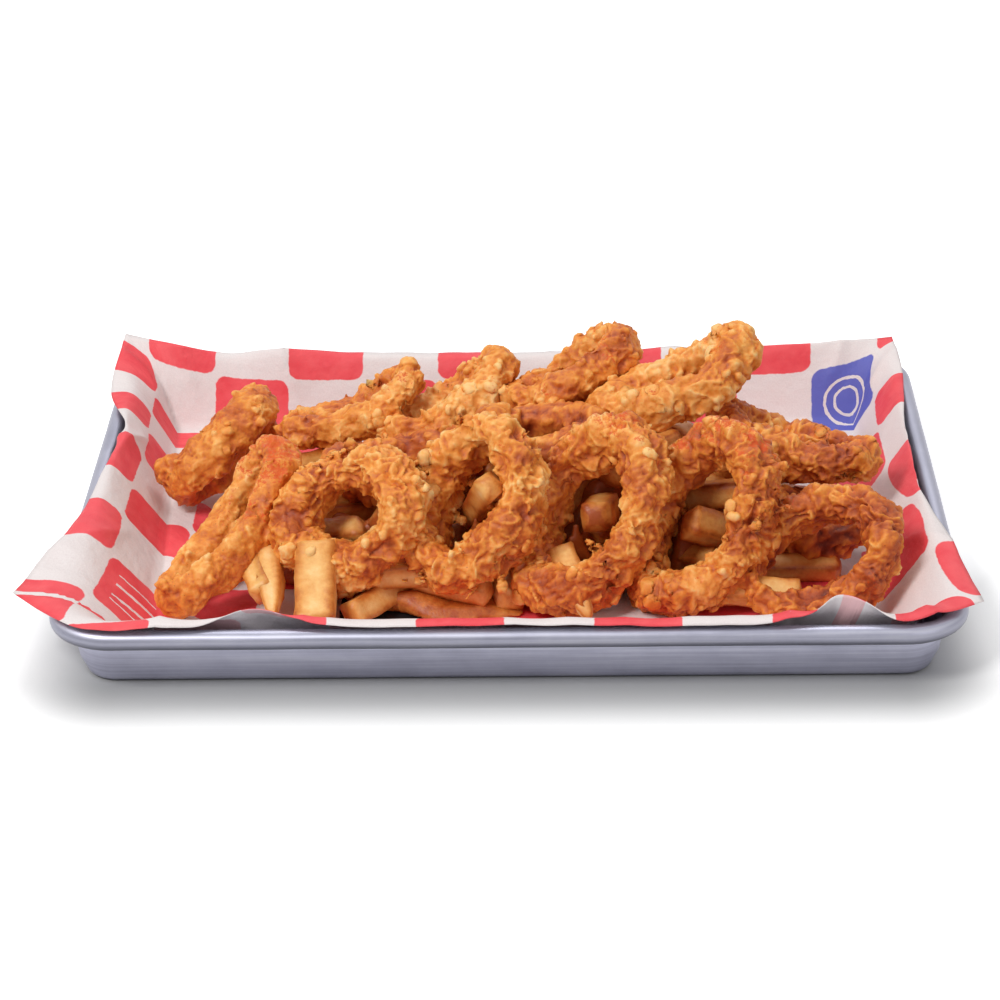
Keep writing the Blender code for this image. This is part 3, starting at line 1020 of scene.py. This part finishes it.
def makeRing(number, flakes, crustTree, reliefTree, coat):
    kind, tone, paprika, plump = ringLooks[number]
    style = batterKinds[kind]
    node = "onion_ring_" + number
    made = mergedCopy(node, "battered_ring_" + number)
    work = bmesh.new()
    work.from_mesh(made.data)
    bmesh.ops.join_triangles(work, faces=work.faces, angle_face_threshold=0.9, angle_shape_threshold=0.9)
    work.to_mesh(made.data)
    work.free()
    rounding = made.modifiers.new("rounding", "SUBSURF")
    rounding.levels = rounding.render_levels = 2
    perCm2 = 10000.0
    useTree(
        made,
        crustTree,
        {
            "Flakes": flakes,
            "Flake density": style["flakes"] * perCm2,
            "Flake size": style["flakeSize"],
            "Knob density": style["knobs"] * perCm2,
            "Knob size": style["knobSize"],
            "Swell": plump * mm,
            "Seed": int(number),
        },
    )
    fuse = made.modifiers.new("fuse", "REMESH")
    fuse.mode = "VOXEL"
    fuse.use_smooth_shade = True
    voxel = batter["hiddenVoxel"] if number in batter["hidden"] else batter["voxel"]
    fuse.voxel_size = voxel * mm
    useTree(
        made,
        reliefTree,
        {
            "Least island": batter["leastIsland"] / 1,
            "Swell height": style["swells"] * mm,
            "Lump height": style["lumps"] * mm,
            "Pebble height": style["pebbles"] * mm,
            "Ridge height": style["ridges"] * mm,
            "Grain height": 0.22 * mm,
            "Proud span": 0.9 * mm,
            "Material": coat,
        },
    )
    bake(made)
    points, normals = meshPoints(made.data), meshNormals(made.data)
    points[:, 2] = np.maximum(points[:, 2], (paper["floor"] + 0.4) * mm)
    made.data.vertices.foreach_set("co", points.ravel())
    made.data.update()
    low, high = points[:, 2].min(), points[:, 2].max()
    fell = smoothStep((points[:, 2] - low) / (high - low), 0.35, 1.0) * smoothStep(normals[:, 2], -0.1, 0.7)
    storeFloats(made.data, "dust", fell * paprika)
    storeFloats(made.data, "tone", np.full(len(points), tone))
    finish(made, "batter", node)
    return made


flakeShapes = makeFlakes()
crust = makeCrustTree()
relief = makeReliefTree()
batterFinish = makeBatterFinish()
for ringNumber in sorted(ringLooks):
    makeRing(ringNumber, flakeShapes, crust, relief, batterFinish)

# ---- fries: a few placed one by one where they show, the rest laid over a core
fries = {
    "width": 10.5,
    "length": 60.0,
    "around": 20,
    "stations": 22,
    "laid": 120,
    "tries": 2600,
    "coreDrop": 5.5,
}

# (x, y, z of the middle; turn, tilt and roll in degrees; length; width; which shape, 3 being the pointed one)
placedFries = [
    ((-95, -59, 19), -70, 14, 30, 30, 9, 0),
    ((-88, -66, 17), -84, 20, 10, 34, 9.5, 3),
    ((-71, -74, 18), -88, 28, 0, 36, 15, 1),
    ((-47, -60, 17), 4, -3, 10, 36, 10, 2),
    ((-22, -60, 13), -18, 5, 20, 32, 9.5, 0),
    ((24, -65, 14), -70, 24, 20, 34, 10.5, 3),
    ((66, -62, 11), 10, 3, 20, 36, 9.5, 1),
    ((92, -64, 10), -6, 2, 40, 32, 10, 2),
]


def fryShape(name, number, pointed):
    # one bar of cut potato along X, unit sized for its length and width, with worn corners and slanted ends
    dice = random.Random(50 + number)
    slants = [dice.uniform(-0.5, 0.5) for _ in range(4)]
    bow = dice.uniform(-1.2, 1.2)
    half = fries["width"] / 2
    rows, edges = [], []
    count = fries["stations"]
    for station in range(count):
        share = station / (count - 1) * 2 - 1
        capped = min(1.0, (1 - abs(share)) * count * 0.5)
        plump = (0.45 + 0.55 * math.sqrt(max(capped, 0.0))) if capped < 1 else 1.0
        if pointed:
            plump *= 1 - 0.75 * max(share, 0) ** 1.5
        for step in range(fries["around"]):
            angle = 2 * math.pi * (step + 0.5) / fries["around"]
            c, s = math.cos(angle), math.sin(angle)
            square = (abs(c) ** 9 + abs(s) ** 9) ** (-1 / 9)
            swell = 1 + 0.05 * noise.noise(Vector((share * 3, c * 1.3, s * 1.3 + number * 5)))
            y = half * c * square * plump * swell
            z = half * s * square * plump * swell
            lean = (slants[0] * y + slants[1] * z) if share < 0 else (slants[2] * y + slants[3] * z)
            x = share * fries["length"] / 2 + lean * abs(share) ** 6
            rows.append(Vector((x, y, z + bow * (1 - share * share))) * mm)
            edges.append(max(0.0, (square - 1.0) / 0.25, abs(share) ** 14))
    faces = []
    for station in range(count - 1):
        for step in range(fries["around"]):
            after = (step + 1) % fries["around"]
            first, second = station * fries["around"], (station + 1) * fries["around"]
            faces.append((first + step, first + after, second + after, second + step))
    faces.append(tuple(reversed(range(fries["around"]))))
    faces.append(tuple(range(len(rows) - fries["around"], len(rows))))
    mesh = bpy.data.meshes.new(name)
    mesh.from_pydata(rows, [], faces)
    mesh.shade_smooth()
    storeFloats(mesh, "edge", edges)
    return bpy.data.objects.new(name, mesh)


def makeFryTree():
    tree, given = newTree(
        "laid fries",
        [
            ("Shapes", "NodeSocketCollection"),
            ("Uneven", "NodeSocketFloat"),
            ("Material", "NodeSocketMaterial"),
        ],
    )
    shapes = addNode(
        tree,
        "GeometryNodeCollectionInfo",
        {"Collection": given["Shapes"], "Separate Children": True, "Reset Children": True},
    )
    turn = addNode(tree, "GeometryNodeInputNamedAttribute", {"Name": "turned"}, data_type="FLOAT_VECTOR")
    turned = addNode(tree, "FunctionNodeEulerToRotation", {0: turn})
    size = addNode(tree, "GeometryNodeInputNamedAttribute", {"Name": "sized"}, data_type="FLOAT_VECTOR")
    kind = addNode(tree, "GeometryNodeInputNamedAttribute", {"Name": "kind"}, data_type="INT")
    points = addNode(tree, "GeometryNodeMeshToPoints", {"Mesh": given["Geometry"]})
    laid = addNode(
        tree,
        "GeometryNodeInstanceOnPoints",
        {
            "Points": points,
            "Instance": shapes,
            "Pick Instance": True,
            "Instance Index": kind,
            "Rotation": turned,
            "Scale": size,
        },
    )
    whole = addNode(tree, "GeometryNodeRealizeInstances", {0: laid})
    place = addNode(tree, "GeometryNodeInputPosition")
    uneven = noiseNode(tree, place, 160.0, 3.0, 0.6)
    rise = rangeNode(tree, uneven, 0.3, 0.7, -1.0, 1.0)
    height = mathNode(tree, "MULTIPLY", rise, given["Uneven"])
    normal = addNode(tree, "GeometryNodeInputNormal")
    offset = addNode(tree, "ShaderNodeVectorMath", {0: normal, "Scale": height}, operation="SCALE")
    moved = addNode(tree, "GeometryNodeSetPosition", {"Geometry": whole, "Offset": offset})
    coated = addNode(tree, "GeometryNodeSetMaterial", {"Geometry": moved, "Material": given["Material"]})
    addNode(tree, "NodeGroupOutput", {"Geometry": coated})
    return tree


def makeFryFinish(name, shade):
    # Fried potato: pale gold faces, browner along the cut edges and ends, a thin gloss of oil and salt grains
    made, tree = newMaterial(name)
    place = addNode(tree, "ShaderNodeTexCoord").outputs["Object"]
    edge = addNode(tree, "ShaderNodeAttribute", attribute_name="edge").outputs["Fac"]
    patches = noiseNode(tree, place, 85.0, 4.0, 0.6)
    mottle = noiseNode(tree, place, 420.0, 4.0, 0.65)
    level = mathNode(tree, "MULTIPLY_ADD", patches, -1.1, 1.08 - shade)
    fine = mathNode(tree, "MULTIPLY_ADD", mottle, 0.5, -0.05)
    level = mathNode(tree, "ADD", level, fine)
    browned = mathNode(tree, "MULTIPLY_ADD", edge, -0.42, level)
    # fries further back in the pile are darker, as painted shade under the rings
    depth = addNode(tree, "ShaderNodeSeparateXYZ", {0: place}).outputs["Y"]
    paintedPileShade = rangeNode(tree, depth, -60 * mm, -45 * mm, 0.0, -0.24)
    browned = mathNode(tree, "ADD", browned, paintedPileShade)
    cooked = addNode(tree, "ShaderNodeValToRGB", {"Fac": browned})
    paintStops(
        cooked, [(0.0, "#A8501A"), (0.25, "#CF7F36"), (0.5, "#E6A557"), (0.75, "#F1C077"), (1.0, "#F7D59A")]
    )
    grit = noiseNode(tree, place, 1300.0, 2.0)
    height = mathNode(tree, "MULTIPLY_ADD", mottle, 1.6, grit)
    bump = addNode(tree, "ShaderNodeBump", {"Height": height, "Strength": 0.4, "Distance": 0.3 * mm})
    gleam = rangeNode(tree, mottle, 0.35, 0.65, 0.36, 0.56)
    shader = addNode(
        tree,
        "ShaderNodeBsdfPrincipled",
        {
            "Base Color": cooked,
            "Roughness": gleam,
            "Specular IOR Level": 0.45,
            "Subsurface Weight": 0.2,
            "Subsurface Radius": (1.0, 0.7, 0.3),
            "Subsurface Scale": 2.5 * mm,
            "Normal": bump,
        },
    )
    addNode(tree, "ShaderNodeOutputMaterial", {"Surface": shader})
    return made


def bvhOf(names):
    points, faces = [], []
    for name in names:
        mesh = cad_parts[name].data
        start = len(points)
        points += [vertex.co.copy() for vertex in mesh.vertices]
        faces += [[start + i for i in polygon.vertices] for polygon in mesh.polygons]
    return BVHTree.FromPolygons(points, faces)


def layFries():
    rings = bvhOf(["onion_ring_" + number for number in ringLooks])
    heap = bvhOf(["fries_bed"])
    dice = random.Random(4)
    laid = []

    def frameOf(turn, tilt, roll):
        return Euler((math.radians(roll), math.radians(tilt), math.radians(turn)), "XYZ")

    def clear(middle, euler, length, width, allowance):
        axis = euler.to_matrix() @ Vector((1, 0, 0))
        for step in range(9):
            point = (middle + axis * length * (step / 8 - 0.5) * 0.96) * mm
            if point.z < (paper["floor"] + width * 0.42) * mm:
                return False
            found, normal, _, distance = rings.find_nearest(point)
            if (point - found).dot(normal) < 0 or distance < width * allowance * mm:
                return False
        for other, otherEuler, otherLength, otherWidth, _ in laid:
            otherAxis = otherEuler.to_matrix() @ Vector((1, 0, 0))
            for step in range(7):
                point = middle + axis * length * (step / 6 - 0.5)
                along_ = max(-otherLength / 2, min(otherLength / 2, (point - other).dot(otherAxis)))
                if (point - other - otherAxis * along_).length < (width + otherWidth) * 0.4:
                    return False
        return True

    for place, turn, tilt, roll, length, width, kind in placedFries:
        lowest = place[2] - length / 2 * abs(math.sin(math.radians(tilt))) - width * 0.53
        lift = max(0.0, paper["floor"] + 0.4 - lowest)
        middle = Vector((place[0], place[1], place[2] + lift))
        laid.append((middle, frameOf(turn, tilt, roll), length, width, kind))
    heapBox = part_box("fries_bed")
    low, high = heapBox[0] / mm, heapBox[1] / mm
    for _ in range(fries["tries"]):
        if len(laid) >= fries["laid"]:
            break
        x, y = dice.uniform(low.x, high.x), dice.uniform(low.y, high.y)
        hit = heap.ray_cast(Vector((x, y, 150)) * mm, Vector((0, 0, -1)))
        if hit[0] is None:
            continue
        length, width = dice.uniform(32, 66), dice.uniform(9, 11.8)
        turn = dice.uniform(0, 180)
        slope = math.degrees(math.asin(max(-1, min(1, hit[1].dot(
            Vector((math.cos(math.radians(turn)), math.sin(math.radians(turn)), 0))
        )))))
        tilt = max(-40, min(40, slope)) + dice.uniform(-10, 10)
        euler = frameOf(turn, tilt, dice.uniform(0, 90))
        kind = dice.randrange(4)
        for sink in (0.1, 0.45, 0.8):
            middle = Vector((x, y, hit[0].z / mm - width * sink))
            if clear(middle, euler, length, width, 0.42):
                laid.append((middle, euler, length, width, kind))
                break
    return laid


def makeFries():
    laid = layFries()
    shapes = bpy.data.collections.new("fry shapes")
    for number in range(4):
        shapes.objects.link(fryShape(f"fry_{number}", number, number == 3))
    mesh = bpy.data.meshes.new("fries")
    mesh.from_pydata([item[0] * mm for item in laid], [], [])
    turned = mesh.attributes.new("turned", "FLOAT_VECTOR", "POINT")
    turned.data.foreach_set("vector", np.array([tuple(item[1]) for item in laid], np.float32).ravel())
    sized = mesh.attributes.new("sized", "FLOAT_VECTOR", "POINT")
    sizes = [(item[2] / fries["length"], item[3] / fries["width"], item[3] / fries["width"]) for item in laid]
    sized.data.foreach_set("vector", np.array(sizes, np.float32).ravel())
    kinds = mesh.attributes.new("kind", "INT", "POINT")
    kinds.data.foreach_set("value", np.array([item[4] for item in laid], np.int32))
    made = newObject("fries", mesh)
    useTree(
        made,
        makeFryTree(),
        {"Shapes": shapes, "Uneven": 0.35 * mm, "Material": makeFryFinish("fried potato", 0.0)},
    )
    bake(made)
    made.data.shade_smooth()
    print("laid", len(laid), "fries")
    finish(made, "potato", "fries_bed")


def makeCore():
    made = mergedCopy("fries_bed", "fries_core")
    points = meshPoints(made.data)
    middle = (points.max(0) + points.min(0)) / 2
    floor = points[:, 2].min()
    points[:, :2] = middle[:2] + (points[:, :2] - middle[:2]) * 0.9
    points[:, 2] = np.maximum(
        points[:, 2] - fries["coreDrop"] * mm, floor + 0.2 * mm * (points[:, 2] > floor + 0.1 * mm)
    )
    made.data.vertices.foreach_set("co", points.ravel())
    made.data.update()
    fuse = made.modifiers.new("fuse", "REMESH")
    fuse.mode = "VOXEL"
    fuse.voxel_size = 1.6 * mm
    fuse.use_smooth_shade = True
    bake(made)
    made.data.materials.clear()
    # the core takes a darker copy of the fry finish, with more browning, as painted shade for the gaps
    # between the fries
    made.data.materials.append(makeFryFinish("fried potato in shade", 0.35))
    storeFloats(made.data, "edge", np.full(len(made.data.vertices), 0.6))
    finish(made, "potato", "fries_bed")


makeFries()
makeCore()

# ---- stage: white floor with a painted shadow round the pan, soft key from the upper left, wide fill
stage = {
    "floorSize": 16.0,
    "floorGlow": (0.0, 0.5),
    "shadowCore": (0.14, 0.106, 0.0),
    "shadowReach": 0.06,
    "world": 0.3,
}

# name, place in metres, size in metres, power in watts
lamps = [
    ("key", (-0.75, -0.75, 1.25), 0.5, 15.0),
    ("fill", (0.9, -1.0, 0.7), 1.0, 2.5),
    ("top", (0.1, 0.55, 1.3), 0.9, 6.0),
]


def makeStage():
    made, tree = newMaterial("white sweep with painted shadow")
    path = addNode(tree, "ShaderNodeLightPath").outputs
    seen = mathNode(tree, "MAXIMUM", path["Is Camera Ray"], path["Is Glossy Ray"])
    clearly = mathNode(tree, "MAXIMUM", seen, path["Is Transmission Ray"])
    # a painted shadow: in front of the pan and under it the sweep is painted grey and its glow held back,
    # further out it burns to white, and behind the pan the glow paints out the key light's shadow
    place = addNode(tree, "ShaderNodeTexCoord").outputs["Object"]
    folded = vectorNode(tree, "ABSOLUTE", place)
    past = vectorNode(tree, "SUBTRACT", folded, stage["shadowCore"])
    kept = vectorNode(tree, "MAXIMUM", past, (0, 0, 0))
    away = vectorNode(tree, "LENGTH", kept).outputs["Value"]
    outward = rangeNode(tree, away, 0.0, stage["shadowReach"], interpolation_type="SMOOTHSTEP")
    depth = addNode(tree, "ShaderNodeSeparateXYZ", {0: place}).outputs["Y"]
    behind = rangeNode(tree, depth, -0.11, 0.0, interpolation_type="SMOOTHSTEP")
    clearOfPaintedShadow = mathNode(tree, "MAXIMUM", outward, behind)
    low, high = stage["floorGlow"]
    lit = rangeNode(tree, clearOfPaintedShadow, 0.0, 1.0, low, high)
    glow = mathNode(tree, "MULTIPLY", clearly, lit)
    # painted shadow: grey near the pan, white away from it
    paintedShadowGrey = addNode(tree, "ShaderNodeMix", {0: clearOfPaintedShadow, 6: "#9A9A9A", 7: "#F4F4F4"}, data_type="RGBA")
    diffuse = addNode(tree, "ShaderNodeBsdfDiffuse", {"Color": paintedShadowGrey})
    light = addNode(tree, "ShaderNodeEmission", {"Color": "#FFFFFF", "Strength": glow})
    both = addNode(tree, "ShaderNodeAddShader", {0: diffuse, 1: light})
    addNode(tree, "ShaderNodeOutputMaterial", {"Surface": both})
    half = stage["floorSize"] / 2
    mesh = bpy.data.meshes.new("floor")
    mesh.from_pydata(
        [(-half, -half, 0), (half, -half, 0), (half, half, 0), (-half, half, 0)], [], [(0, 1, 2, 3)]
    )
    mesh.materials.append(made)
    newObject("floor", mesh)

    world = bpy.data.worlds.new("studio")
    scene.world = world
    world.use_nodes = True
    tree = world.node_tree
    tree.nodes.clear()
    path = addNode(tree, "ShaderNodeLightPath").outputs
    seen = mathNode(tree, "MAXIMUM", path["Is Camera Ray"], path["Is Glossy Ray"])
    clearly = mathNode(tree, "MAXIMUM", seen, path["Is Transmission Ray"])
    strength = rangeNode(tree, clearly, 0.0, 1.0, stage["world"], 1.0)
    light = addNode(tree, "ShaderNodeBackground", {"Color": "#FFFFFF", "Strength": strength})
    addNode(tree, "ShaderNodeOutputWorld", {"Surface": light})

    for name, place, size, power in lamps:
        data = bpy.data.lights.new(name, "AREA")
        data.shape = "DISK"
        data.size = size
        data.energy = power
        holder = bpy.data.objects.new(name, data)
        scene.collection.objects.link(holder)
        holder.location = place
        toPan = Vector((0, 0, 0.03)) - Vector(place)
        holder.rotation_euler = toPan.to_track_quat("-Z", "Y").to_euler()


makeStage()
scene.view_settings.view_transform = "Standard"
